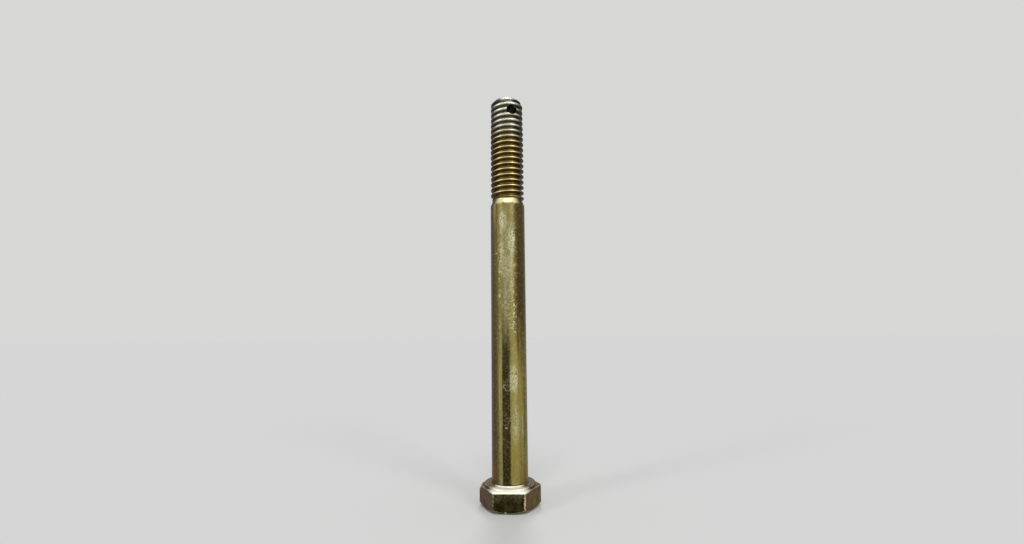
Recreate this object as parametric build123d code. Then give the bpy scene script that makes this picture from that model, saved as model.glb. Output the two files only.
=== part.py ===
from build123d import *
import os
from math import ceil, cos, radians, sin, tan

# Kingpin bolt: a long hex-head bolt with a coarse thread, drilled near its tip for a split pin.
# It is forged and rolled as one piece, so it is one solid.
# Frame: +Z runs up the shank, the origin is the middle of the bearing face under the head,
# and one flat of the head faces -Y. The bolt stands on its head. Lengths are in millimetres.

# Shank
shank_diameter = 9.5                   # plain body of a 3/8 in bolt
length_under_head = 104.8              # bearing face to tip, 4 1/8 in
underhead_cone = 0.6                   # 45 degree cone between head and shank

# Thread, right hand
thread_pitch = 1.5875                  # 16 turns to the inch
thread_diameter = 9.32                 # over the crests
thread_depth = 0.94                    # crest to root, on the radius
thread_angle = 60                      # between the two sides of the groove
crest_width = 0.27                     # land left on each crest, along the axis
thread_length = 30.8                   # tip to the end of the full-size shank
groove_from_tip = 1.25                 # tip to the first groove's middle, on the side that faces -Y

# Run-out, where the rolled thread fades into the shank
neck_diameter = 8.4                    # blank left bare between the shank and the first crest
neck_cone_length = 1.3                 # shank down to neck
groove_start = 1.5                     # end of the full-size shank to where the groove sinks in
groove_start_angle = 35                # groove floor to axis there
crest_start = 1.6                      # end of the full-size shank to where the first crest rises
crest_rise = 0.5                       # length over which it rises

# Tip
tip_diameter = 7.4                     # flat end inside the chamfer
tip_chamfer_angle = 42                 # chamfer to axis

# Split-pin hole
pin_hole_diameter = 2.78               # 7/64 in drill
pin_hole_from_tip = 3.8                # tip to the hole's axis
pin_hole_turn = 22                     # from the head flat that faces -Y, towards +X

# Head
head_across_flats = 14.07              # for a 9/16 in spanner
head_height = 5.8
head_edge_radius = 0.5                 # forged edge round the bearing side
head_corner_radius = 0.35              # the six upright edges
washer_face_diameter = 13.26
washer_face_height = 0.4
end_face_diameter = 12.8               # flat inside the chamfer on the head's free end
end_chamfer_angle = 30                 # chamfer to end face

# Worked out from the sizes above
shank_radius = shank_diameter / 2
neck_radius = neck_diameter / 2
crest_radius = thread_diameter / 2
root_radius = crest_radius - thread_depth
shank_end = length_under_head - thread_length

def turned(outline):
    """Turn a closed outline of (radius, height) points about the bolt's axis."""
    return revolve(Plane.XZ * make_face(outline), Axis.Z)

def head():
    """Hexagon with rounded edges on its bearing side and a chamfer at its free end, plus the washer face."""
    hexagon = RegularPolygon(head_across_flats / 2, 6, major_radius=False)
    hexagon = fillet(hexagon.vertices(), head_corner_radius)
    block = extrude(Pos(0, 0, -head_height) * hexagon, head_height - washer_face_height)
    block = fillet(block.faces().sort_by(Axis.Z)[-1].edges(), head_edge_radius)

    # A cone that opens upwards from the free end: what lies outside it is chamfered away.
    end_radius = end_face_diameter / 2
    reach = head_across_flats
    rise = reach * tan(radians(end_chamfer_angle))
    inside_chamfer = turned(Polyline(
        (0, -head_height),
        (end_radius, -head_height),
        (end_radius + reach, rise - head_height),
        (0, rise - head_height),
        close=True,
    ))
    washer_face = Pos(0, 0, -head_height / 2) * Circle(washer_face_diameter / 2)
    return (block & inside_chamfer) + extrude(washer_face, head_height / 2)

def blank():
    """Shank and neck, ending in the cone that closes the thread's groove where it starts."""
    foot = -head_height / 2
    cone_edge = shank_radius + underhead_cone
    groove_foot = shank_end + groove_start
    return turned(Polyline(
        (0, foot),
        (cone_edge, foot),
        (cone_edge, 0),
        (shank_radius, underhead_cone),
        (shank_radius, shank_end),
        (neck_radius, shank_end + neck_cone_length),
        (neck_radius, groove_foot),
        (0, groove_foot + neck_radius / tan(radians(groove_start_angle))),
        close=True,
    ))

def thread_room():
    """The room the thread fills: its crests rise out of the neck, and the tip is chamfered."""
    clear = crest_radius + thread_depth
    rise = crest_rise / (crest_radius - neck_radius)
    tip_radius = tip_diameter / 2
    chamfer = 1 / tan(radians(tip_chamfer_angle))
    foot = shank_end + neck_cone_length / 2
    return turned(Polyline(
        (0, foot),
        (neck_radius, foot),
        (neck_radius, shank_end + crest_start),
        (clear, shank_end + crest_start + rise * (clear - neck_radius)),
        (clear, length_under_head - chamfer * (clear - tip_radius)),
        (tip_radius, length_under_head),
        (0, length_under_head),
        close=True,
    ))

def helix(radius, foot):
    """One turn of the thread at this radius. It starts and ends at +X."""
    return (Pos(0, 0, foot) * Helix(thread_pitch, thread_pitch, radius)).edge()

def threaded_rod():
    """A rod that is thread all the way, turn by turn: root, sides and crest are strips between helices."""
    side_rise = thread_depth * tan(radians(thread_angle / 2))
    root_half = (thread_pitch - crest_width) / 2 - side_rise
    corners = [                        # (radius, height) up one turn, from the middle of the groove's floor
        (root_radius, -root_half),
        (root_radius, root_half),
        (crest_radius, root_half + side_rise),
        (crest_radius, root_half + side_rise + crest_width),
        (root_radius, thread_pitch - root_half),
    ]

    # At +X the groove is a quarter of a turn on from its place at -Y. The rod overshoots both ends.
    top = length_under_head - groove_from_tip + thread_pitch / 4 + 2 * thread_pitch
    turns = ceil(thread_length / thread_pitch) + 3
    bottom = top - turns * thread_pitch
    faces = []
    for turn in range(turns):
        rails = [helix(radius, bottom + turn * thread_pitch + rise) for radius, rise in corners]
        faces += [Face.make_surface_from_curves(low, high) for low, high in zip(rails, rails[1:])]

    # Each end is a helical ramp from the axis out to the thread's root, and one flat step across it.
    for end in (bottom, top):
        low, high = end - root_half, end - root_half + thread_pitch
        axis = Line((0, 0, low), (0, 0, high)).edge()
        faces.append(Face.make_surface_from_curves(axis, helix(root_radius, low)))
        step = [(0, 0, low), *((radius, 0, end + rise) for radius, rise in corners), (0, 0, high)]
        faces.append(make_face(Polyline(step, close=True)).face())
    return Solid(Shell(faces))

def pin_hole():
    """Cross hole for the split pin, square to the axis."""
    turn = radians(pin_hole_turn)
    axis = Plane((0, 0, length_under_head - pin_hole_from_tip), z_dir=(sin(turn), -cos(turn), 0))
    return axis * Cylinder(pin_hole_diameter / 2, 2 * shank_diameter)

def kingpin_bolt():
    return head() + blank() + (threaded_rod() & thread_room()) - pin_hole()

os.makedirs("parts", exist_ok=True)
export_step(kingpin_bolt(), "parts/kingpin_bolt.step")
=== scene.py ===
# %% [markdown]
# # A kingpin bolt in yellow zinc
#
# The object is one piece of steel: a hexagon head, a long plain shank, a coarse rolled thread and a
# cross hole near the tip for a split pin. It stands on its head, so +Z runs from the head to the tip,
# the origin is in the middle of the bearing face, and one flat of the head faces -Y.
#
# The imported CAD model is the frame: it says where everything is. This script makes a finer body
# for the same bolt, gives it a plated finish, and lights it on a plain floor.

# %% Load the frame
from math import ceil, cos, pi, radians, sin, sqrt, tan

import bpy
from mathutils import Matrix, Vector


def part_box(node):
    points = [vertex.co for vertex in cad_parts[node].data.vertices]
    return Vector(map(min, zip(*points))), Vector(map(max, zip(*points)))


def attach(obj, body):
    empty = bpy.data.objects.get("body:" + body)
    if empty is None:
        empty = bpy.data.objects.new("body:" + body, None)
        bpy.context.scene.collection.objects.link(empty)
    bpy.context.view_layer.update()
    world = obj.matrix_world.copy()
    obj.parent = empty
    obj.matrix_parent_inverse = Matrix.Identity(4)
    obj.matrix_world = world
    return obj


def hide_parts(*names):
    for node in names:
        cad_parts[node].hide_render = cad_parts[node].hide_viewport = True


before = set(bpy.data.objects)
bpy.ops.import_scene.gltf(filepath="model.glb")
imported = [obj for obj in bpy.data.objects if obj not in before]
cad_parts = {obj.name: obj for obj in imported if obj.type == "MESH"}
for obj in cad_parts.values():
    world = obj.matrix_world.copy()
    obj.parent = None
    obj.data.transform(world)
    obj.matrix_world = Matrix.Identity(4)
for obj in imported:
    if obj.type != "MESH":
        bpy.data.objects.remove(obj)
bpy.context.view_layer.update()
lowest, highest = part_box("kingpin_bolt")
print("bolt, in metres:", tuple(lowest), tuple(highest))

# %% [markdown]
# ## Sizes
#
# Blender works in metres and a bolt is drawn in millimetres, so `mm` stands beside each size. The two
# heights that matter most come from the frame: the free end of the head and the tip. The rest are the
# sizes that such a bolt is made to: a 3/8 inch shank, 16 turns of thread to the inch, and a head
# for a 9/16 inch spanner.

# %% Sizes of the bolt
mm = 0.001
tip_height = highest[2]
head_height = -lowest[2]

across_flats = 14.07 * mm
corner_rounding = 0.42 * mm
washer_face_radius = 6.63 * mm
washer_face_height = 0.4 * mm
head_edge_radius = 0.5 * mm
end_face_radius = 6.4 * mm
end_chamfer = radians(30)

shank_radius = 4.75 * mm
hollow_radius = 0.6 * mm             # between the shank and the washer face
shank_end = tip_height - 30.8 * mm
neck_radius = 4.2 * mm
neck_foot = shank_end + 1.3 * mm

pitch = 1.5875 * mm
crest_radius = 4.66 * mm
thread_depth = 0.94 * mm
crest_width = 0.27 * mm
groove_from_tip = 1.25 * mm          # to the first groove's middle, on the side that faces -Y
groove_start = shank_end + 1.5 * mm
crest_start = shank_end + 1.6 * mm
tip_radius = 3.7 * mm

pin_hole_radius = 1.39 * mm
pin_hole_height = tip_height - 3.8 * mm
pin_hole_turn = radians(22)          # from -Y towards +X

root_radius = crest_radius - thread_depth
flank = tan(radians(30))             # each side of the groove leans by half of 60 degrees
root_half = (pitch - crest_width) / 2 - thread_depth * flank
print("turns of thread:", round((tip_height - crest_start) / pitch, 1))

# %% [markdown]
# ## A short way to write nodes
#
# Geometry Nodes and shaders are both trees of small nodes. Written out, each sum would take five lines.
# The class `Value` wraps one socket, and Python's own signs are taught to add a Math node: `1 - a * b`
# becomes two nodes, already joined. `Nodes.add` makes any other node: its settings first, because they
# decide which sockets it has, and then its inputs.

# %% Sums on sockets
class Value:
    """An output socket that can be reckoned with."""

    def __init__(self, nodes, socket):
        self.nodes = nodes
        self.socket = socket

    def __add__(self, other):
        return self.nodes.math("ADD", self, other)

    def __radd__(self, other):
        return self.nodes.math("ADD", other, self)

    def __sub__(self, other):
        return self.nodes.math("SUBTRACT", self, other)

    def __rsub__(self, other):
        return self.nodes.math("SUBTRACT", other, self)

    def __mul__(self, other):
        return self.nodes.math("MULTIPLY", self, other)

    def __rmul__(self, other):
        return self.nodes.math("MULTIPLY", other, self)

    def __truediv__(self, other):
        return self.nodes.math("DIVIDE", self, other)

    def __rtruediv__(self, other):
        return self.nodes.math("DIVIDE", other, self)

    def __gt__(self, other):
        return self.nodes.math("GREATER_THAN", self, other)

    def __lt__(self, other):
        return self.nodes.math("LESS_THAN", self, other)

print("signs that make nodes: +  -  *  /  >  <")

# %% The node helper
def find(sockets, key):
    """The socket with this number, identifier or name."""
    if isinstance(key, int):
        return sockets[key]
    return next((s for s in sockets if s.identifier == key), None) or sockets[key]

class Nodes:
    """Adds nodes to one tree."""

    def __init__(self, tree):
        self.tree = tree

    def add(self, kind, settings={}, inputs={}):
        """A node of this kind with its settings made and its inputs filled or linked."""
        node = self.tree.nodes.new(kind)
        for name, setting in settings.items():
            setattr(node, name, setting)
        for key, given in inputs.items():
            socket = find(node.inputs, key)
            if isinstance(given, Value):
                self.tree.links.new(given.socket, socket)
            else:
                socket.default_value = given
        return node

    def out(self, node, key=0):
        """One output of a node that is already there."""
        return Value(self, find(node.outputs, key))

    def get(self, kind, settings={}, inputs={}, key=0):
        """The output of a new node."""
        return self.out(self.add(kind, settings, inputs), key)

    def math(self, operation, *terms):
        """The result of a Math node."""
        return self.get("ShaderNodeMath", {"operation": operation}, dict(enumerate(terms)))

    def smallest(self, a, b):
        return self.math("MINIMUM", a, b)

    def largest(self, a, b):
        return self.math("MAXIMUM", a, b)

    def between(self, a, low, high):
        """The value, held at low where it is below and at high where it is above."""
        return self.smallest(self.largest(a, low), high)

    def step(self, a, low, high):
        """0 below low and 1 above high, with a smooth rise from one to the other."""
        return self.get("ShaderNodeMapRange", {"interpolation_type": "SMOOTHSTEP"},
                        {"Value": a, "From Min": low, "From Max": high})

    def xyz(self, vector):
        """The three numbers in a vector."""
        node = self.add("ShaderNodeSeparateXYZ", {}, {0: vector})
        return [self.out(node, axis) for axis in "XYZ"]

    def vector(self, x, y, z):
        """A vector from three numbers."""
        return self.get("ShaderNodeCombineXYZ", {}, {"X": x, "Y": y, "Z": z})

print("Nodes writes into any tree: geometry, material or world")

# %% [markdown]
# ## The outline that is turned
#
# A bolt is round nearly everywhere, so a row of points from the middle of the free end to the foot of
# the thread says almost all of its shape. Each point is a radius and a height, and Geometry Nodes will
# turn it into a ring. A Screw modifier would turn the round parts, but the head is a hexagon, so each
# point carries two more numbers. `inset` is how far its ring stays inside the flats, which rounds the
# edge round the bearing side. `climb` is 0 where a ring lies on the chamfer of the free end, 1 where it
# keeps its own height, and in between on the flats, where the rings are shared out between the curved
# edge of the chamfer and the top.

# %% Rings of the head
def arc(count):
    """Angles over a quarter turn."""
    return [pi / 2 * i / count for i in range(count + 1)]

rings = []

def ring(radius, height, inset=0.0, climb=1.0):
    """One more point of the outline."""
    rings.append((radius, height, inset, climb))

outside = across_flats                # past every corner, so that the hexagon decides
corner_reach = across_flats / sqrt(3)
chamfer_rings = 14
side_top = -washer_face_height - head_edge_radius      # where the flats end and their rounded edge starts

for share in (0, 0.15, 0.35, 0.6, 0.85, 0.97, 1):
    ring(end_face_radius * share, -head_height, climb=0)
for step in range(1, chamfer_rings + 1):
    ring(end_face_radius + (corner_reach - end_face_radius) * step / chamfer_rings, -head_height, climb=0)
for share in (0, 0.03, 0.08, 0.2, 0.4, 0.6, 0.74, 0.8, 0.86, 0.92, 0.97):
    ring(outside, side_top, climb=share)
for angle in arc(6):
    ring(outside, side_top + head_edge_radius * sin(angle), head_edge_radius * (1 - cos(angle)))
print("rings up to the bearing side:", len(rings))

# %% Rings of the washer face
soft = 0.07 * mm                      # edges that plating leaves a little round
turned_grooves = (                    # radius and depth of the two that the turning tool left
    (6.4, 0), (6.3, 0.05), (6.12, 0.05), (6.02, 0),
    (5.75, 0), (5.67, 0.04), (5.54, 0.04), (5.46, 0))

for share in (0.3, 0.6, 0.85):
    ring(washer_face_radius + (corner_reach - washer_face_radius) * (1 - share),
         -washer_face_height, head_edge_radius)
ring(washer_face_radius, -washer_face_height)
ring(washer_face_radius, -soft)
for angle in arc(3):
    ring(washer_face_radius - soft * (1 - cos(angle)), -soft + soft * sin(angle))
for radius, sunk in turned_grooves:
    ring(radius * mm, -sunk * mm)
for angle in arc(7):
    ring(shank_radius + hollow_radius * (1 - sin(angle)), hollow_radius * (1 - cos(angle)))
print("rings up to the shank:", len(rings))

# %% Rings of the shank and its shoulder
shank_steps = 90
shoulder = 0.25 * mm                  # the height over which the shank bends into the cone above it
for step in range(1, shank_steps + 1):
    ring(shank_radius, hollow_radius + (shank_end - shoulder - hollow_radius) * step / shank_steps)
cone_slope = (shank_radius - neck_radius) / (neck_foot - shank_end)
for share in (0.25, 0.5, 0.75, 1):
    ring(shank_radius - shoulder * cone_slope * share ** 2 / 2, shank_end - shoulder * (1 - share))
for share in (0.15, 0.3, 0.45, 0.6, 0.75, 0.9, 1):
    ring(shank_radius - shoulder * cone_slope / 2 * (1 - share) - (shank_radius - neck_radius) * share,
         shank_end + (neck_foot - shank_end) * share)
print("rings up to the thread:", len(rings))

# %% Rings of the tip
body_rings = rings
rings = []
end_dish = (                          # radius and depth of the shallow dish in the end face
    (3.62, 0.0), (3.3, 0.01), (2.7, 0.03), (2.1, 0.07), (1.5, 0.12), (0.8, 0.15), (0.0, 0.16))

ring(tip_radius, tip_height)
for radius, sunk in end_dish:
    ring(radius * mm, tip_height - sunk * mm)
tip_rings = rings
print("rings of the tip:", len(tip_rings))

# %% Outlines that the tree can read
def outline(name, rows):
    """The rings as a row of points, with inset and climb as attributes."""
    mesh = bpy.data.meshes.new(name)
    mesh.from_pydata([(radius, 0, height) for radius, height, inset, climb in rows], [], [])
    for column, word in ((2, "inset"), (3, "climb")):
        attribute = mesh.attributes.new(word, "FLOAT", "POINT")
        attribute.data.foreach_set("value", [row[column] for row in rows])
    return bpy.data.objects.new(name, mesh)

body_outline = outline("body_outline", body_rings)
tip_outline = outline("tip_outline", tip_rings)
print("points in the two outlines:", len(body_outline.data.vertices), len(tip_outline.data.vertices))

# %% [markdown]
# ## The tree and its named sizes
#
# Everything that follows is one Geometry Nodes tree. Its inputs have names, so the same tree could make
# another bolt: a longer thread, a finer pitch, a bigger head. The value of each input is kept under its
# identifier, a short code that stays the same when the name changes, and goes to the modifier at the end.

# %% Start the tree
tree = bpy.data.node_groups.new("bolt_maker", "GeometryNodeTree")
tree.interface.new_socket("Bolt", in_out="OUTPUT", socket_type="NodeSocketGeometry")
group_input = tree.nodes.new("NodeGroupInput")
geo = Nodes(tree)
input_values = {}

def size(name, value, kind="NodeSocketFloat"):
    """A named input of the tree, and the value that this bolt gives it."""
    socket = tree.interface.new_socket(name, in_out="INPUT", socket_type=kind)
    input_values[socket.identifier] = value
    return Value(geo, find(group_input.outputs, socket.identifier))

segments = size("Points round a ring", 180, "NodeSocketInt")
hexagon_width = size("Across flats", across_flats)
hexagon_rounding = size("Corner rounding", corner_rounding)
face_radius = size("Washer face radius", washer_face_radius)
free_end = size("Free end", -head_height)
chamfer_inside = size("Free end radius", end_face_radius)
chamfer_slope = size("Chamfer slope", tan(end_chamfer))
knock_height = size("Knock height", 1.75 * mm)
knock_slope = size("Knock slope", 0.64)
print("inputs so far:", len(input_values))

# %% [markdown]
# ## Points round a ring
#
# A corner of the hexagon is rounded over less than half a millimetre, so the points are crowded there
# and spread out on the flats. One formula does both: the place round the ring less a wave that repeats
# six times. The spread is still fine enough for the round shank.
#
# The top of the corner at -X is knocked flat, as when a bolt is dropped. A slanting cut does it, which is
# cheaper than a second Boolean and leaves the rows of faces whole.

# %% Angle of a point and edge of the hexagon
def angle_round(share):
    """Turn a share of the ring into an angle, with the points crowded towards the six corners."""
    crowding = 0.8
    wave = geo.math("SINE", share * (12 * pi))
    return share * (2 * pi) - wave * (crowding / 6)

def hexagon_edge(angle):
    """Distance from the axis to the hexagon's edge, with its corners rounded."""
    sector = geo.math("PINGPONG", angle + radians(30), radians(30))       # 0 on the middle of a flat
    this_flat = hexagon_width / 2 / geo.math("COSINE", sector)
    next_flat = hexagon_width / 2 / geo.math("COSINE", radians(60) - sector)
    return geo.math("SMOOTH_MIN", this_flat, next_flat, hexagon_rounding)

def knocked_off(angle, height):
    """Distance from the axis to a slanting cut that takes the top off the corner at -X."""
    corner = hexagon_width / sqrt(3)
    slant = corner - knock_slope * (geo.between(height, 0 - knock_height, 0) + knock_height)
    return slant / geo.largest(-1 * geo.math("COSINE", angle), 0.5)

def on_ring(angle, radius, height):
    """The point at this angle, distance from the axis and height."""
    return geo.vector(radius * geo.math("COSINE", angle), radius * geo.math("SINE", angle), height)

print("one ring has", input_values[segments.socket.identifier], "points")

# %% [markdown]
# ## Turning the outline
#
# A Mesh Grid gives the faces: across it runs the ring, up it run the rows. Set Position then puts each
# point where its ring and angle say. On the head the ring is cut off at the hexagon, which is how the
# real one gets its curved edge too: a cone meets flat sides. Rings that the hexagon swallows fall on
# each other and are merged later.

# %% The turned part of the tree
def turned(source):
    """Rings from an outline object."""
    points = geo.get("GeometryNodeObjectInfo", {}, {"Object": source}, "Geometry")
    count = geo.get("GeometryNodeAttributeDomainSize", {"component": "MESH"},
                    {"Geometry": points}, "Point Count")
    grid = geo.add("GeometryNodeMeshGrid", {}, {"Vertices X": segments + 1, "Vertices Y": count})
    share, row_share, _ = geo.xyz(geo.out(grid, "UV Map"))
    row = geo.math("ROUND", row_share * (count - 1))

    def read(word):
        """An attribute of the outline's point that this row belongs to."""
        column = geo.get("GeometryNodeInputNamedAttribute", {"data_type": "FLOAT"}, {"Name": word})
        return geo.get("GeometryNodeSampleIndex", {"data_type": "FLOAT"},
                       {"Geometry": points, "Value": column, "Index": row})

    place = geo.get("GeometryNodeSampleIndex", {"data_type": "FLOAT_VECTOR"},
                    {"Geometry": points, "Value": geo.get("GeometryNodeInputPosition"), "Index": row})
    radius, _, height = geo.xyz(place)
    angle = angle_round(share)
    flats = geo.largest(hexagon_edge(angle) - read("inset"), face_radius)
    ring_radius = geo.smallest(radius, flats)
    on_chamfer = free_end + geo.largest(ring_radius - chamfer_inside, 0) * chamfer_slope
    ring_height = on_chamfer + (height - on_chamfer) * read("climb")
    left_over = geo.largest(knocked_off(angle, ring_height), face_radius)
    return geo.get("GeometryNodeSetPosition", {}, {
        "Geometry": geo.out(grid, "Mesh"),
        "Position": on_ring(angle, geo.smallest(ring_radius, left_over), ring_height)})

body = turned(size("Body outline", body_outline, "NodeSocketObject"))
tip = turned(size("Tip outline", tip_outline, "NodeSocketObject"))
print("nodes in the tree so far:", len(tree.nodes))

# %% [markdown]
# ## The thread
#
# The real thread is rolled: the blank is pressed between two dies and the metal flows up into the
# crests. A Screw modifier could sweep a profile up a helix, but its two ends would need trimming. Here
# the rows of a second grid climb by one pitch each time they go round. The end of one turn then meets
# the start of the next, and every row stays on the same part of the thread's profile, so crests and
# roots stay crisp with few faces. Heights past the tip or below the neck are held there, which gives a
# flat ring at each end that joins the turned parts.

# %% Rows that climb
turn_height = size("Pitch", pitch)
first_groove = size("Groove height at +X", tip_height - groove_from_tip + pitch / 4)
top = size("Tip height", tip_height)
foot = size("Thread foot", neck_foot)
rows_in_a_turn = 18
turns_of_rows = ceil((tip_height - neck_foot) / pitch) + 2
rows_a_turn = size("Rows a turn", rows_in_a_turn, "NodeSocketInt")
turns = size("Turns", turns_of_rows, "NodeSocketInt")
row_crowding = 0.45                   # how far the rows are drawn towards the crest and the root

thread_grid = geo.add("GeometryNodeMeshGrid", {}, {
    "Vertices X": segments + 1, "Vertices Y": rows_a_turn * turns + 1})
share, row_share, _ = geo.xyz(geo.out(thread_grid, "UV Map"))
angle = angle_round(share)
turned_by = row_share * turns                      # whole numbers on the middle of a groove
crowded = turned_by - geo.math("SINE", turned_by * (4 * pi)) * (row_crowding / (4 * pi))
climbed = crowded + angle / (2 * pi)
height = geo.between(first_groove + (climbed - turns + 1) * turn_height, foot, top)
print("rows of the thread:", rows_in_a_turn * turns_of_rows + 1)

# %% [markdown]
# ## The thread's profile
#
# At any angle and height the distance to the nearest groove's middle gives the radius: a narrow floor, a
# side that leans 30 degrees, and a crest. Smooth minimum and maximum round the crest and the root, as
# rolling does. Then three cones cut into it: the chamfer at the tip, the rise of the first crest out of
# the neck, and the floor of the groove, which comes up to the surface where the dies stop.

# %% Radius of the thread
crest = size("Crest radius", crest_radius)
root = size("Root radius", root_radius)
floor_half = size("Half width of groove floor", root_half)
neck = size("Neck radius", neck_radius)
tip_face = size("Tip radius", tip_radius)
root_rounding = 0.16 * mm
crest_rounding = 0.12 * mm
crest_wear = 0.1 * mm                 # what nuts have rubbed off the crests near the tip

in_turn = geo.math("FLOORED_MODULO", (height - first_groove) / turn_height - angle / (2 * pi), 1.0)
from_groove = geo.smallest(in_turn, 1 - in_turn) * turn_height
side = root + (from_groove - floor_half) / flank
rubbed_down = geo.step(height, top - 12 * mm, top - 4 * mm) * crest_wear
rounded_root = geo.math("SMOOTH_MAX", side, root, root_rounding)
profile = geo.math("SMOOTH_MIN", rounded_root, crest - rubbed_down, crest_rounding)
print("thread radius, in mm:", round(root_radius / mm, 2), "to", round(crest_radius / mm, 2))

# %% Chamfer, first crest and the end of the groove
tip_chamfer = radians(42)
crest_rise = 0.5 * mm                 # the height in which the first crest rises out of the neck
groove_slant = radians(35)

chamfer = tip_face + (top - height) * tan(tip_chamfer)
first_crest = neck + (height - crest_start) * ((crest_radius - neck_radius) / crest_rise)
chamfered = geo.largest(geo.math("SMOOTH_MIN", profile, chamfer, crest_rounding), tip_face)
outer = geo.smallest(chamfered, geo.largest(first_crest, neck))
groove_floor = geo.smallest(neck - (height - groove_start) * tan(groove_slant), neck)
thread_radius = geo.largest(outer, groove_floor)
thread = geo.get("GeometryNodeSetPosition", {}, {
    "Geometry": geo.out(thread_grid, "Mesh"), "Position": on_ring(angle, thread_radius, height)})
print("nodes in the tree so far:", len(tree.nodes))

# %% [markdown]
# ## One body with a hole through it
#
# The three meshes share their end rings, so Merge by Distance welds them into one closed skin. A
# forged head is never quite flat, so a low noise moves it by a few hundredths of a millimetre, always
# inwards. The split-pin hole is drilled after rolling: a Boolean takes a cylinder away, and cuts through
# whatever crest is in its path.

# %% Join the three meshes
parts = geo.add("GeometryNodeJoinGeometry")
for part in (tip, thread, body):
    tree.links.new(part.socket, parts.inputs[0])
skin = geo.get("GeometryNodeMergeByDistance", {}, {"Geometry": geo.out(parts), "Distance": 0.002 * mm})
print("nodes in the tree so far:", len(tree.nodes))

# %% Forge the head
lumps_a_metre = 260.0                 # so that each is about 4 mm wide
position = geo.get("GeometryNodeInputPosition")
lump = geo.get("ShaderNodeTexNoise", {"noise_dimensions": "3D"},
               {"Vector": position, "Scale": lumps_a_metre, "Detail": 3.0, "Roughness": 0.6}, "Fac")
_, _, up = geo.xyz(position)
in_head = 1 - geo.step(up, -0.9 * mm, -0.4 * mm)
depth = size("Forging marks", 0.05 * mm)
normal = geo.get("GeometryNodeInputNormal")
inwards = geo.get("ShaderNodeVectorMath", {"operation": "SCALE"},
                  {"Vector": normal, "Scale": lump * in_head * depth * -1}, "Vector")
forged = geo.get("GeometryNodeSetPosition", {}, {"Geometry": skin, "Offset": inwards})
print("nodes in the tree so far:", len(tree.nodes))

# %% Drill the split-pin hole
drill_radius = size("Pin hole radius", pin_hole_radius)
drill_sides = 72
drill_length = 3 * shank_radius
drill = geo.get("GeometryNodeMeshCylinder", {}, {
    "Vertices": drill_sides, "Radius": drill_radius, "Depth": drill_length}, "Mesh")
drill = geo.get("GeometryNodeTransform", {}, {
    "Geometry": drill, "Translation": (0, 0, pin_hole_height), "Rotation": (pi / 2, 0, pin_hole_turn)})
drilled = geo.get("GeometryNodeMeshBoolean", {"operation": "DIFFERENCE", "solver": "EXACT"},
                  {"Mesh 1": forged, "Mesh 2": drill})
print("named inputs:", len(input_values), "and nodes:", len(tree.nodes))

# %% [markdown]
# ## The finish: zinc with a yellow passivate
#
# Bolts like this are plated with zinc and dipped in a chromate bath, which leaves a thin film. The film
# shows gold where it is even, olive where it is thick and pink or green where it is thin, and it rubs
# off first where parts touch: on the crests of the thread, along edges and in patches on the shank,
# where the zinc shows silver.
#
# A painted image would need the bolt unwrapped. One material that works from the place of each point on
# the bolt does without: its distance from the axis, its height and its angle say what it is part of.

# %% Start the material
def rgb(red, green, blue):
    """A screen colour, each part from 0 to 255, turned into the linear light that a shader uses."""
    def linear(c):
        c = c / 255
        return c / 12.92 if c <= 0.04045 else ((c + 0.055) / 1.055) ** 2.4
    return (linear(red), linear(green), linear(blue), 1.0)

plating = bpy.data.materials.new("yellow_zinc")
plating.use_nodes = True
plating.node_tree.nodes.clear()
mat = Nodes(plating.node_tree)

def blend(factor, first, second):
    """First colour where the factor is 0, second where it is 1."""
    return mat.get("ShaderNodeMix", {"data_type": "RGBA"},
                   {"Factor_Float": factor, "A_Color": first, "B_Color": second}, "Result_Color")

def noise(vector, scale, detail=3.0, roughness=0.5):
    """A cloudy pattern from 0 to 1, mostly near the middle."""
    return mat.get("ShaderNodeTexNoise", {"noise_dimensions": "3D"},
                   {"Vector": vector, "Scale": scale, "Detail": detail, "Roughness": roughness}, "Fac")

def nodes_so_far():
    print("nodes in the finish so far:", len(plating.node_tree.nodes))

nodes_so_far()

# %% Where a point is
in_metres = mat.get("ShaderNodeTexCoord", key="Object")
place = mat.get("ShaderNodeVectorMath", {"operation": "SCALE"},
                {"Vector": in_metres, "Scale": 1 / mm}, "Vector")
x, y, z = mat.xyz(place)              # in millimetres, in all that follows
from_axis = mat.math("SQRT", x * x + y * y)
nodes_so_far()

# %% [markdown]
# ### Gold, olive and brown
#
# The bar that the bolt is made from was drawn through a die, which leaves long lines. Noise gives them
# when the height is made small before the noise reads it: the pattern is then stretched along the
# shank. Over the lines lies a grain of about a third of a millimetre, from the crystals of the zinc.

# %% Patterns that the finish shares
long_place = mat.vector(x, y, z * 0.035)
drips = noise(mat.vector(x, y, z * 0.12), 0.55, 4.0, 0.6)
streaks = noise(long_place, 0.9, 3.0, 0.5)
fine_streaks = noise(long_place, 5.0, 3.0, 0.6)
grain = noise(mat.vector(x, y, z * 0.55), 3.2, 4.0, 0.7)
mottle = noise(place, 1.2, 5.0, 0.65)
clouds = noise(place, 0.5, 4.0, 0.6)
nodes_so_far()

# %% Colour of the film
gold = rgb(149, 137, 78)
olive = rgb(116, 106, 54)
brown = rgb(96, 78, 42)
film_and_painted_light = blend(mat.step(drips + (mottle - 0.5) * 0.4, 0.36, 0.60), brown, olive)
film_and_painted_light = blend(mat.step(streaks + (mottle - 0.5) * 0.4, 0.42, 0.68), film_and_painted_light, gold)
film_and_painted_light = blend(mat.step(mottle, 0.50, 0.62) * 0.35, film_and_painted_light, rgb(146, 122, 84))
film_and_painted_light = blend(mat.step(clouds, 0.50, 0.62) * 0.25, film_and_painted_light, rgb(134, 134, 84))
film_and_painted_light = blend(mat.step(grain, 0.48, 0.72) * 0.35, film_and_painted_light, rgb(170, 162, 108))
film_and_painted_light = blend((1 - mat.step(grain, 0.32, 0.48)) * 0.35, film_and_painted_light, brown)
nodes_so_far()
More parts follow.
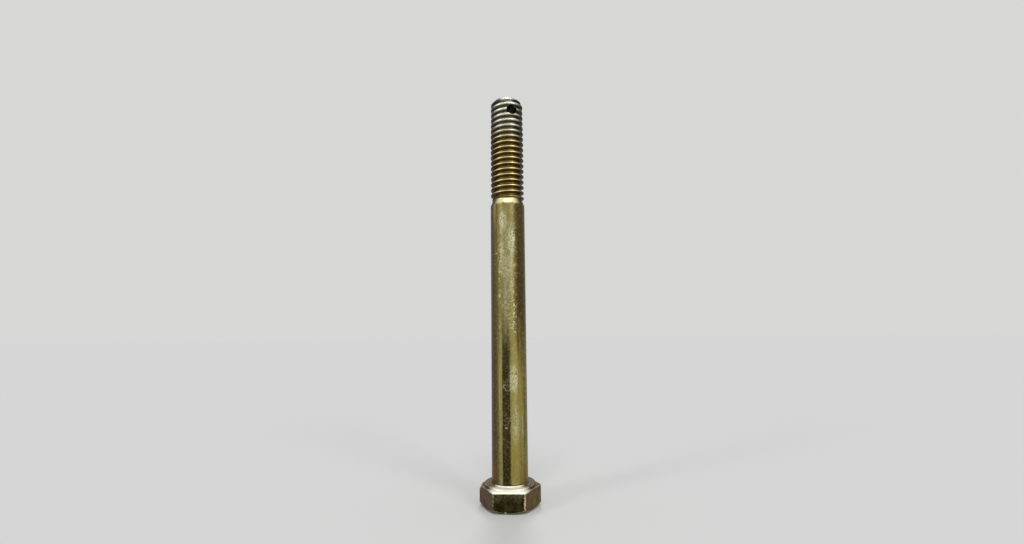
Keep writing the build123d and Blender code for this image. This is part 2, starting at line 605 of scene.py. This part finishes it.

# %% [markdown]
# ### Lanes along the shank
#
# A bright bar shows the room as dark and pale stripes along it, and the lanes drawn here are painted
# reflections of such stripes. Each lane faces one way round the bolt, which is a test on the angle, and
# its edges and ends fade and wander with the noise. A plain studio has nothing dark to mirror, so
# painted reflections in the colour are the simple way to give the metal its depth, and they stay in
# place when the bolt is turned.

# %% A lane
def lane(angle, half_width, fade):
    """1 along a stripe of the bolt that faces this way, 0 beyond its faded sides."""
    facing = (x * cos(radians(angle)) + y * sin(radians(angle))) / from_axis
    return mat.step(facing, cos(radians(half_width + fade)), cos(radians(half_width)))

ragged = z + (drips - 0.5) * 30       # heights that wander, so that no lane ends in a line
upper = mat.step(ragged, 27, 44)
lower = 1 - upper
nodes_so_far()

# %% Lanes of the upper shank
# Painted reflections on the upper shank: dark stripes at the left edge and on the right, and pale and
# dark stripes down the front.
film_and_painted_light = blend(lane(-165, 25, 25) * 0.85, film_and_painted_light, rgb(68, 56, 34))
film_and_painted_light = blend(lane(-44, 24, 10) * upper * 0.9, film_and_painted_light, rgb(68, 54, 28))
film_and_painted_light = blend(lane(-94, 18, 14) * upper * 0.35, film_and_painted_light, rgb(162, 154, 106))
film_and_painted_light = blend(lane(-124, 8, 8) * upper * 0.85, film_and_painted_light, rgb(98, 86, 46))
film_and_painted_light = blend(lane(-137, 2, 6) * mat.step(ragged, 58, 72) * 0.5, film_and_painted_light, rgb(184, 174, 122))
film_and_painted_light = blend(lane(-116, 10, 12) * upper * (1 - mat.step(ragged, 52, 68)) * 0.5, film_and_painted_light, rgb(84, 74, 42))
nodes_so_far()

# %% Lanes of the lower shank
# Painted reflections on the lower shank: a bright stripe on the right, pale and dark stripes, a small
# painted glint, and a dark stripe down the front.
bright = mat.step(lane(-64, 12, 24) + (streaks - 0.5) * 0.6 + (mottle - 0.5) * 0.4, 0.15, 0.95)
film_and_painted_light = blend(bright * lower * 0.5, film_and_painted_light, rgb(154, 139, 70))
film_and_painted_light = blend(lane(-116, 3, 6) * lower * 0.25, film_and_painted_light, rgb(166, 162, 112))
film_and_painted_light = blend(lane(-131, 4, 7) * lower * 0.45, film_and_painted_light, rgb(86, 70, 38))
glint = lane(-42, 1.5, 3) * mat.step(z, 11, 13) * (1 - mat.step(z, 17, 19))
film_and_painted_light = blend(glint * 0.5, film_and_painted_light, rgb(178, 172, 138))
dark = mat.step(lane(-97, 5, 13) + (mottle - 0.5) * 1.3 + (streaks - 0.5) * 0.4, 0.3, 0.8)
dark = dark * lower * (0.95 - mat.step(grain, 0.5, 0.7) * 0.2)
film_and_painted_light = blend(dark, film_and_painted_light, rgb(46, 39, 16))
nodes_so_far()

# %% [markdown]
# ### Worn patches, scuffs and scratches
#
# Where the shank has rubbed in its bore the film is gone and the zinc shows as silver. A worn patch is an
# oval on one side of the shank with an edge that the noise breaks up. Scuffs are the thin lines where a
# noise passes through its middle value, a cheap way to draw many curved hairs. A nick is a short dash,
# and a curl is the lower half of a wandering oval line.

# %% Worn patches
def patch(angle, height, wide, tall):
    """1 in the middle of a patch on the shank and 0 outside it, with a ragged edge."""
    outwards = (x * cos(radians(angle)) + y * sin(radians(angle)) - shank_radius / mm) / 1.5
    along_x = (y * cos(radians(angle)) - x * sin(radians(angle))) / wide
    along_z = (z - height) / tall
    away = mat.math("SQRT", outwards * outwards + along_x * along_x + along_z * along_z)
    return 1 - mat.step(away + (mottle - 0.5) * 1.8, 0.35, 1.25)

worn = mat.largest(patch(-77, 63.5, 1.2, 4.2), patch(-103, 69, 1.2, 3.2))
worn = mat.largest(worn, patch(-73, 26.8, 1.3, 4.0))
worn = mat.largest(worn, mat.largest(patch(-68, 15.6, 1.3, 5.5), patch(-92, 56, 1.6, 5.0)) * 0.5)
worn = mat.largest(worn, mat.largest(patch(-105, 59.5, 0.8, 5.5), patch(-95, 47.5, 0.8, 5.0)) * 0.5)
rubbed = worn * mat.step(grain + (mottle - 0.5) * 0.5, 0.38, 0.60)
film_and_painted_light = blend(rubbed * 0.85, film_and_painted_light, rgb(196, 201, 174))
nodes_so_far()

# %% Scuffs and specks
wander = noise(place, 0.9, 2.0, 0.5) * 2.5
lines = noise(mat.vector(x + wander, y + wander, z * 0.45 + wander), 1.0, 3.0, 0.6)
scuffs = 1 - mat.step(mat.math("ABSOLUTE", lines - 0.5), 0.02, 0.07)
in_clumps = mat.step(clouds + (drips - 0.5) * 0.6, 0.44, 0.58)
front_of_shank = lane(-91, 20, 16) * mat.step(z, 37, 43) * (1 - mat.step(z, 66, 72))
scuffed = front_of_shank * in_clumps + worn * 0.6 + 0.1
scuffed = scuffed + patch(-97, 25.5, 1.1, 1.6) * 0.6 + patch(-98, 17, 1.1, 1.3) * 0.4
scuffed = mat.between(scuffs * scuffed * mat.step(mottle, 0.36, 0.56), 0, 1)
film_and_painted_light = blend(scuffed * 0.5, film_and_painted_light, rgb(192, 184, 144))

specks = mat.step(noise(place, 2.0, 1.0, 0.5), 0.60, 0.67)
film_and_painted_light = blend(specks * (0.1 + 0.7 * patch(-77, 43, 1.2, 6.5)), film_and_painted_light, rgb(206, 200, 140))
nodes_so_far()

# %% Two nicks
def nick(angle, height, wide, tall):
    """1 on a short dash across the shank."""
    across = (y * cos(radians(angle)) - x * sin(radians(angle))) / wide
    up = (z - height) / tall
    return (1 - mat.step(across * across + up * up, 0.4, 1.2)) * lane(angle, 20, 5)

film_and_painted_light = blend(nick(-97, 14.5, 0.42, 0.15) * 0.8, film_and_painted_light, rgb(216, 206, 174))
film_and_painted_light = blend(nick(-128, 60, 0.45, 0.22) * 0.6, film_and_painted_light, rgb(184, 180, 142))
nodes_so_far()

# %% Two curled scratches
def curl(angle, height, wide, tall):
    """1 on a thin curled scratch: the lower half of a wandering oval."""
    across = (y * cos(radians(angle)) - x * sin(radians(angle))) / wide
    up = (z - height) / tall
    bends = (clouds - 0.5) * 2.4 + (mottle - 0.5) * 0.8
    from_line = mat.math("SQRT", across * across + up * up) - 1 + bends
    thin = 1 - mat.step(mat.math("ABSOLUTE", from_line), 0.03, 0.13)
    return thin * (1 - mat.step(up, 0.1, 0.5)) * lane(angle, 25, 5)

film_and_painted_light = blend(curl(-93, 24.9, 0.85, 1.2) * 0.6, film_and_painted_light, rgb(196, 192, 160))
film_and_painted_light = blend(curl(-98, 16.4, 1.0, 1.1) * 0.35, film_and_painted_light, rgb(178, 172, 140))
nodes_so_far()

# %% [markdown]
# ### The head
#
# The head's flats were pressed, not drawn, and the film lies on them in clouds: dark olive, brown and a
# pink shimmer, each flat with its own share of them. The flat that faces -Y is painted darker, as the
# shade it stands in, and lighter and grainier towards the bearing side. The upright edges where a
# spanner slipped are bare, and so is the rim that the bolt stands on. A flat is known by its distance
# along its own direction, an edge by its distance from the axis, so no part of the mesh has to be marked.

# %% Colour of the head
def flat_at(angle):
    """1 on the flat of the head that faces this way."""
    return mat.step(x * cos(radians(angle)) + y * sin(radians(angle)), 6.8, 6.95)

shimmer = noise(place, 0.33, 2.0, 0.5)
head_film_and_painted_light = blend(mat.step(clouds, 0.38, 0.64), rgb(84, 70, 36), rgb(114, 96, 50))
head_film_and_painted_light = blend(mat.step(shimmer, 0.42, 0.66) * 0.6, head_film_and_painted_light, rgb(120, 82, 54))
left_film = blend(mat.step(clouds, 0.40, 0.62), rgb(70, 55, 34), rgb(94, 62, 40))
head_film_and_painted_light = blend(flat_at(-150), head_film_and_painted_light, left_film)
# The flat that faces -Y: painted shade, lighter and grainier towards the bearing side.
front_flat_shade = blend(mat.step(clouds, 0.42, 0.62), rgb(38, 34, 14), rgb(66, 58, 32))
near_top = mat.step(z + (mottle - 0.5) * 3.5, -3.4, -1.0)
front_flat_shade = blend(near_top * mat.step(grain, 0.40, 0.62), front_flat_shade, rgb(98, 96, 62))
head_film_and_painted_light = blend(flat_at(-90), head_film_and_painted_light, front_flat_shade)
scratches = noise(mat.vector((x + 0.3 * z) * 4, y * 3, (z - 0.3 * x) * 0.7), 1.0, 3.0, 0.6)
head_film_and_painted_light = blend(mat.step(scratches, 0.60, 0.74) * 0.22, head_film_and_painted_light, rgb(160, 152, 116))
nodes_so_far()

# %% Rubbed edges of the head
cold_metal = rgb(208, 200, 168)
bruised = lane(-60, 8, 10) * 0.6 + 0.3
corner = mat.step(from_axis + (grain - 0.5) * 0.5 + (mottle - 0.5) * 0.7, 7.95, 8.06)
head_film_and_painted_light = blend(corner * bruised, head_film_and_painted_light, cold_metal)
cut_corner = lane(180, 9, 4) * mat.step(z + (mottle - 0.5) * 0.8, -1.8, -1.5)
head_film_and_painted_light = blend(cut_corner * mat.step(grain, 0.48, 0.58) * 0.8, head_film_and_painted_light, cold_metal)
above_chamfer = z + head_height / mm - (from_axis - end_face_radius / mm) * tan(end_chamfer)
lower_edge = 1 - mat.step(above_chamfer + (grain - 0.5) * 0.3, 0.02, 0.14)
head_film_and_painted_light = blend(lower_edge * mat.step(from_axis, 6.9, 7.0) * 0.75, head_film_and_painted_light, rgb(184, 176, 142))
dent = lane(-97, 0.5, 2.5) * (1 - mat.step(above_chamfer + (grain - 0.5) * 0.3, 0.05, 0.4))
head_film_and_painted_light = blend(dent * 0.8, head_film_and_painted_light, cold_metal)
nodes_so_far()

# %% [markdown]
# ### The bearing side
#
# Towards -Y the side under the head is painted almost white, a painted highlight where it faces the
# light from above, and round the sides it stays brown. Thin light rings on it are painted highlights on
# the rims of the turned grooves and under the shank, dark rings are painted shade in the grooves and at
# the foot of the washer face, and a light line round the sides of the head's rounded edge is a painted
# highlight too. A ring is a band of distances from the axis.

# %% The bearing side
front = lane(-90, 26, 29)
bearing_side = mat.step(z + (grain - 0.5) * 0.15, -0.98, -0.86)
# Painted highlight: the side under the head is almost white towards -Y and brown round the sides.
bearing_film_and_painted_light = blend(front, rgb(72, 59, 36), rgb(252, 248, 230))

def ring_band(radius, wide):
    """1 on a ring round the axis, with soft sides."""
    return 1 - mat.step(mat.math("ABSOLUTE", from_axis - radius + (grain - 0.5) * 0.08), wide / 2, wide)

# Painted highlights on the ring rims and painted shade in the turned grooves and at the washer face's
# foot.
ring_highlights = mat.largest(ring_band(5.88, 0.1), ring_band(6.52, 0.12))
ring_highlights = mat.largest(ring_band(5.2, 0.12), ring_highlights) * mat.step(mottle, 0.36, 0.62)
ring_shade = mat.largest(ring_band(6.2, 0.12), ring_band(6.78, 0.14))
ring_shade = mat.largest(ring_band(5.6, 0.12), ring_shade) * mat.step(mottle, 0.3, 0.6)
bearing_film_and_painted_light = blend(ring_highlights * 0.5, bearing_film_and_painted_light, rgb(200, 184, 136))
bearing_film_and_painted_light = blend(ring_shade * (0.55 - 0.3 * front), bearing_film_and_painted_light, rgb(60, 44, 24))
# A painted highlight on the head's rounded edge, round the sides.
edge_highlight = mat.step(z + (grain - 0.5) * 0.1, -0.82, -0.70) - mat.step(z, -0.58, -0.46)
edge_highlight = edge_highlight * mat.step(from_axis, 6.9, 7.0) * (1 - front)
bearing_film_and_painted_light = blend(edge_highlight * 0.6, bearing_film_and_painted_light, rgb(200, 190, 154))
head_film_and_painted_light = blend(bearing_side, head_film_and_painted_light, bearing_film_and_painted_light)
nodes_so_far()

# %% The foot of the shank, and where head and shank meet
on_shank = mat.step(z, 0.24, 0.34)
film_and_painted_light = blend((1 - mat.step(z, 2, 8)) * (1 - lane(-90, 30, 25)) * 0.5, film_and_painted_light, rgb(120, 76, 42))
# Painted shade in the crease where the shank meets the head, darkest towards -Y.
film_and_painted_light = blend((1 - mat.step(z, 0.48, 0.62)) * (0.3 + 0.6 * front), film_and_painted_light, rgb(40, 31, 12))
film_and_painted_light = blend(on_shank, head_film_and_painted_light, film_and_painted_light)
nodes_so_far()

# %% [markdown]
# ### The thread
#
# Near the tip a nut has rubbed the crests bare, so they are silver and broad. Further down each crest
# carries a thin cream line, a painted highlight. The grooves hold the thickest film. The distance from
# the axis tells a crest from a groove, so the colour follows the thread without knowing where its turns
# are. The sides that face +X and -X are painted darker, as shade, which rounds the thread where a plain
# room would wash it out.

# %% Where the thread is, and how high a point lies on it
shank_top = shank_end / mm
thread_foot = neck_foot / mm
tip_end = tip_height / mm
on_thread = mat.step(z, thread_foot - 0.1, thread_foot + 0.3)
near_tip = mat.step(z + (mottle - 0.5) * 5, tip_end - 14, tip_end - 7)
high = from_axis / (crest_radius / mm)
turned_to_light = mat.step(mat.math("ABSOLUTE", y / from_axis), 0.4, 1.0)
nodes_so_far()

# %% Colour of the grooves
groove_film_and_shade = blend(mat.step(high, 0.80, 0.97), rgb(120, 102, 50), rgb(102, 85, 42))
groove_film_and_shade = blend(mat.step(grain, 0.46, 0.66) * 0.35, groove_film_and_shade, rgb(142, 126, 66))
groove_film_and_shade = blend(near_tip * 0.7, groove_film_and_shade, rgb(116, 113, 92))
# Painted shade on the groove sides that face +X and -X.
groove_film_and_shade = blend((1 - turned_to_light) * 0.9, groove_film_and_shade, rgb(44, 35, 19))
nodes_so_far()

# %% Colour of the crests
run_out = 1 - mat.step(z, thread_foot + 0.4, thread_foot + 1.4)
# A painted highlight along each crest, cream towards -Y and +Y and dark at the sides.
crest_highlight = mat.step(high + (grain - 0.5) * 0.015 + run_out * 0.04, 0.986, 0.997)
crest_highlight = crest_highlight * (1 - run_out * mat.step(grain, 0.46, 0.56))
crest_band = mat.step(high + (grain - 0.5) * 0.03, 0.925, 0.965)
thread_film_and_highlight = blend(crest_highlight, groove_film_and_shade, blend(turned_to_light, rgb(64, 53, 34), rgb(214, 197, 146)))
# Bare zinc on the worn crests near the tip, painted dark at the sides as shade.
silver_and_shade = blend(turned_to_light, rgb(58, 55, 47), rgb(216, 218, 208))
bare_zinc_and_painted_light = blend(crest_band, groove_film_and_shade, silver_and_shade)
nodes_so_far()

# %% Colour of the tip
at_tip = mat.step(z, tip_end - 1.3, tip_end - 0.9)
# The tip's chamfer: painted shade at the sides and a painted highlight in front.
chamfer_lit_and_shaded = blend(turned_to_light, rgb(58, 56, 50), rgb(102, 102, 94))
chamfer_highlight = mat.step(lane(-87, 3, 30) + (mottle - 0.5) * 0.4, 0.2, 0.95)
chamfer_lit_and_shaded = blend(chamfer_highlight, chamfer_lit_and_shaded, rgb(226, 228, 224))
end_film = blend(mat.step(mottle, 0.4, 0.6), rgb(116, 111, 94), rgb(142, 138, 122))
on_chamfer = mat.step(from_axis, tip_radius / mm - 0.1, tip_radius / mm)
bare_zinc_and_painted_light = blend(at_tip, bare_zinc_and_painted_light, blend(on_chamfer, end_film, chamfer_lit_and_shaded))
film_and_painted_light = blend(on_thread, film_and_painted_light, blend(near_tip, thread_film_and_highlight, bare_zinc_and_painted_light))
nodes_so_far()

# %% Round and inside the split-pin hole
hole_across = x * cos(pin_hole_turn) + y * sin(pin_hole_turn)
hole_up = z - pin_hole_height / mm
from_hole = mat.math("SQRT", hole_across * hole_across + hole_up * hole_up) / (pin_hole_radius / mm)
# A painted highlight on the hole's rim, on the side towards -X.
rim_highlight = (mat.step(from_hole, 1.08, 1.11) - mat.step(from_hole, 1.13, 1.22)) * (0.2 - hole_across * 0.4)
film_and_painted_light = blend(mat.between(rim_highlight, 0, 0.6), film_and_painted_light, rgb(206, 204, 192))
# The hole and a thin ring round its mouth are painted dark, as the shade inside it.
in_hole = (1 - mat.step(from_hole, 1.05, 1.11)) * (1 - mat.step(z, tip_end - 0.4, tip_end - 0.2))
film_and_painted_light = blend(in_hole * on_thread, film_and_painted_light, rgb(34, 28, 16))
nodes_so_far()

# %% The band under the thread, with a painted highlight
neck_band = mat.step(z + (mottle - 0.5) * 0.9, shank_top - 0.3, shank_top + 0.3) * (1 - on_thread)
# Painted highlight in front where the cone catches the light from above, painted shade at the sides.
neck_lit_and_shaded = blend(lane(-90, 18, 36), rgb(58, 47, 28), rgb(236, 228, 174))
film_and_painted_light = blend(neck_band * (1 - mat.step(mottle, 0.55, 0.7) * 0.4), film_and_painted_light, neck_lit_and_shaded)
nodes_so_far()

# %% [markdown]
# ### Roughness and relief
#
# The film is far thinner than a hair and has no gloss of its own, so one metallic shader that takes the
# film's colour is enough, and a coat over it isn't needed. Its roughness changes with the streaks and
# the grain, and the same patterns go through a Bump node as a relief of up to 0.03 millimetres. Only the
# front of the bearing side, where the highlight is painted almost white, loses part of its metallic look.

# %% Roughness, relief and the finished material
rough = 0.44 + (streaks - 0.5) * 0.2 + (grain - 0.5) * 0.24 + worn * 0.1
rough = mat.between(rough, 0.28, 0.65)
relief = fine_streaks * 0.45 + grain * 0.3 + mottle * 0.4
bump = mat.get("ShaderNodeBump", {}, {
    "Strength": 0.35, "Distance": 0.03 * mm, "Height": relief}, "Normal")
# The front of the bearing side, where the highlight is painted, is made less metallic so that the white
# shows.
matt_highlight = bearing_side * front * (1 - on_shank)
skin_shader = mat.get("ShaderNodeBsdfPrincipled", {}, {
    "Base Color": film_and_painted_light, "Metallic": 1 - matt_highlight * 0.7, "Roughness": rough, "Normal": bump})
mat.add("ShaderNodeOutputMaterial", {}, {"Surface": skin_shader})
nodes_so_far()

# %% [markdown]
# ## Finish the mesh
#
# Edges sharper than 30 degrees stay crisp and the rest is shaded smooth. The tree ends in Realize
# Instances, so that nothing is left that a plain mesh can't hold, and in Set Material. The evaluated
# result is copied into a plain mesh, the modifier goes, the mesh is hung under the frame's root, and the
# CAD part that it stands for is hidden.

# %% Close the tree
smooth = geo.get("GeometryNodeSetShadeSmooth", {"domain": "FACE"},
                 {"Geometry": drilled, "Shade Smooth": True})
sharp = geo.get("GeometryNodeInputMeshEdgeAngle", key="Unsigned Angle") > radians(30)
crisp = geo.get("GeometryNodeSetShadeSmooth", {"domain": "EDGE"},
                {"Geometry": smooth, "Selection": sharp, "Shade Smooth": False})
real = geo.get("GeometryNodeRealizeInstances", {}, {"Geometry": crisp})
finished = geo.get("GeometryNodeSetMaterial", {}, {"Geometry": real, "Material": plating})
geo.add("NodeGroupOutput", {}, {"Bolt": finished})
print("nodes in the finished tree:", len(tree.nodes))

# %% Make the bolt
maker = bpy.data.objects.new("bolt_maker", bpy.data.meshes.new("bolt_maker"))
bpy.context.scene.collection.objects.link(maker)
modifier = maker.modifiers.new("bolt_maker", "NODES")
modifier.node_group = tree
for identifier, value in input_values.items():
    modifier[identifier] = value
evaluated = maker.evaluated_get(bpy.context.evaluated_depsgraph_get())
bolt = bpy.data.objects.new("bolt_body", bpy.data.meshes.new_from_object(evaluated))
bolt.data.name = "bolt_body"
bpy.context.scene.collection.objects.link(bolt)
maker.modifiers.remove(modifier)
for helper in (maker, body_outline, tip_outline):
    bpy.data.objects.remove(helper)
print("bolt_body points:", len(bolt.data.vertices))

# %% Hand the bolt to the frame
triangles = sum(len(face.vertices) - 2 for face in bolt.data.polygons)
print("bolt_body triangles:", triangles)
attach(bolt, "root")
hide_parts("kingpin_bolt")

# %% [markdown]
# ## The floor
#
# The bolt stands on a plain pale floor. A plane with a curved backdrop would show its bend from some
# sides, so the floor is a flat disc, so wide that its edge lies near the horizon from every side. The
# sky is given nearly the floor's own colour, so the two meet without a line.

# %% The floor's mesh
floor_steps = 96
floor_radii = [0.03, 0.1, 0.3, 1.0, 5.0]          # in metres
floor_points = [(0, 0, -head_height)]
for radius in floor_radii:
    for step in range(floor_steps):
        angle = 2 * pi * step / floor_steps
        floor_points.append((radius * cos(angle), radius * sin(angle), -head_height))

floor_faces = []
for step in range(floor_steps):
    following = (step + 1) % floor_steps
    floor_faces.append((0, 1 + step, 1 + following))
    for near in range(1, len(floor_points) - floor_steps, floor_steps):
        far = near + floor_steps
        floor_faces.append((near + step, far + step, far + following, near + following))

floor_mesh = bpy.data.meshes.new("floor")
floor_mesh.from_pydata(floor_points, [], floor_faces)
floor = bpy.data.objects.new("floor", floor_mesh)
bpy.context.scene.collection.objects.link(floor)
print("floor faces:", len(floor_mesh.polygons))

# %% The floor's paper
pale = rgb(216, 216, 214)
paper = bpy.data.materials.new("paper")
paper.use_nodes = True
paper.node_tree.nodes.clear()
page = Nodes(paper.node_tree)
matt = page.get("ShaderNodeBsdfDiffuse", {}, {"Color": pale})
page.add("ShaderNodeOutputMaterial", {}, {"Surface": matt})
floor_mesh.materials.append(paper)
print("the floor's colour, as linear light:", [round(part, 3) for part in pale])

# %% [markdown]
# ## The light
#
# A round bar mirrors whatever stands round it, and the light on it shows as upright stripes. Area lamps
# near the bolt would do, but each leaves a bright patch on the floor. Sun lamps with a wide angle act
# like soft boxes that are far away, and light every part of the floor alike: a narrow pair on the left,
# a wider pair on the right, one high in front for the neck, and one high behind for the tip and the
# bearing side.

# %% Lamps
def soft_box(name, direction, height, wide, strength):
    """A sun lamp: its direction round the bolt and its height above the floor, in degrees."""
    light = bpy.data.lights.new(name, "SUN")
    light.angle, light.energy = radians(wide), strength
    thing = bpy.data.objects.new(name, light)
    turn, rise = radians(direction), radians(height)
    towards = Vector((cos(rise) * cos(turn), cos(rise) * sin(turn), sin(rise)))
    thing.rotation_euler = towards.to_track_quat("Z", "Y").to_euler()
    bpy.context.scene.collection.objects.link(thing)
    print(name, "shines from", direction, "degrees,", height, "up")

soft_box("left_low", -145, 5, 14, 0.3)
soft_box("left_high", -145, 26, 14, 0.4)
soft_box("right_low", -48, 5, 22, 0.47)
soft_box("right_high", -48, 28, 22, 0.6)
soft_box("above", -90, 64, 20, 0.85)
soft_box("behind", 90, 50, 18, 0.75)

# %% [markdown]
# ## The sky
#
# The world does two jobs. For most rays it is a weak bluish light that fills the shadows. What the
# camera sees, or what metal and glass mirror and let through, is instead a pale backdrop. The Light Path
# node tells the two kinds of ray apart, so the backdrop can be as bright as the floor and add no light
# to the bolt's matt parts.

# %% The sky
world = bpy.data.worlds.new("room")
bpy.context.scene.world = world
world.use_nodes = True
world.node_tree.nodes.clear()
sky = Nodes(world.node_tree)
rays = sky.add("ShaderNodeLightPath")
seen = sky.out(rays, "Is Camera Ray") + sky.out(rays, "Is Glossy Ray")
seen = sky.smallest(seen + sky.out(rays, "Is Transmission Ray"), 1)
fill = sky.get("ShaderNodeBackground", {}, {"Color": (0.95, 0.97, 1.0, 1.0), "Strength": 0.4})
backdrop = sky.get("ShaderNodeBackground", {}, {"Color": rgb(215, 216, 214), "Strength": 1.0})
both = sky.get("ShaderNodeMixShader", {}, {0: seen, 1: fill, 2: backdrop})
sky.add("ShaderNodeOutputWorld", {}, {"Surface": both})
print("nodes in the sky:", len(world.node_tree.nodes))

# %% [markdown]
# ## The camera
#
# The camera stands close in front of the bolt with a wide lens and looks slightly up, so the head looks
# larger than the tip and its bearing side just shows. Its place is worked out from the bolt's axis: so
# far away, so high, and so many degrees round. Three small turns then aim it. A Track To constraint would
# aim it too, but always with the bolt in the middle.

# %% The camera
camera_away = 130 * mm                # from the bolt's axis
camera_height = 38.4 * mm
camera_side = radians(2.8)            # from -Y towards +X
camera_tilt = radians(7.45)
camera_turn = radians(-0.47)
camera_roll = radians(-0.6)

camera = bpy.data.objects.new("camera", bpy.data.cameras.new("camera"))
camera.data.lens = 16.63
camera.data.sensor_width = 36.0
camera.data.clip_start = 0.01
camera_place = (camera_away * sin(camera_side), -camera_away * cos(camera_side), camera_height)
camera.matrix_world = (
    Matrix.Translation(camera_place)
    @ Matrix.Rotation(camera_side + camera_turn, 4, "Z")
    @ Matrix.Rotation(pi / 2 + camera_tilt, 4, "X")
    @ Matrix.Rotation(camera_roll, 4, "Z"))
bpy.context.scene.collection.objects.link(camera)
bpy.context.scene.camera = camera
bpy.context.scene.view_settings.view_transform = "Standard"
print("camera, in metres:", [round(part, 4) for part in camera_place])
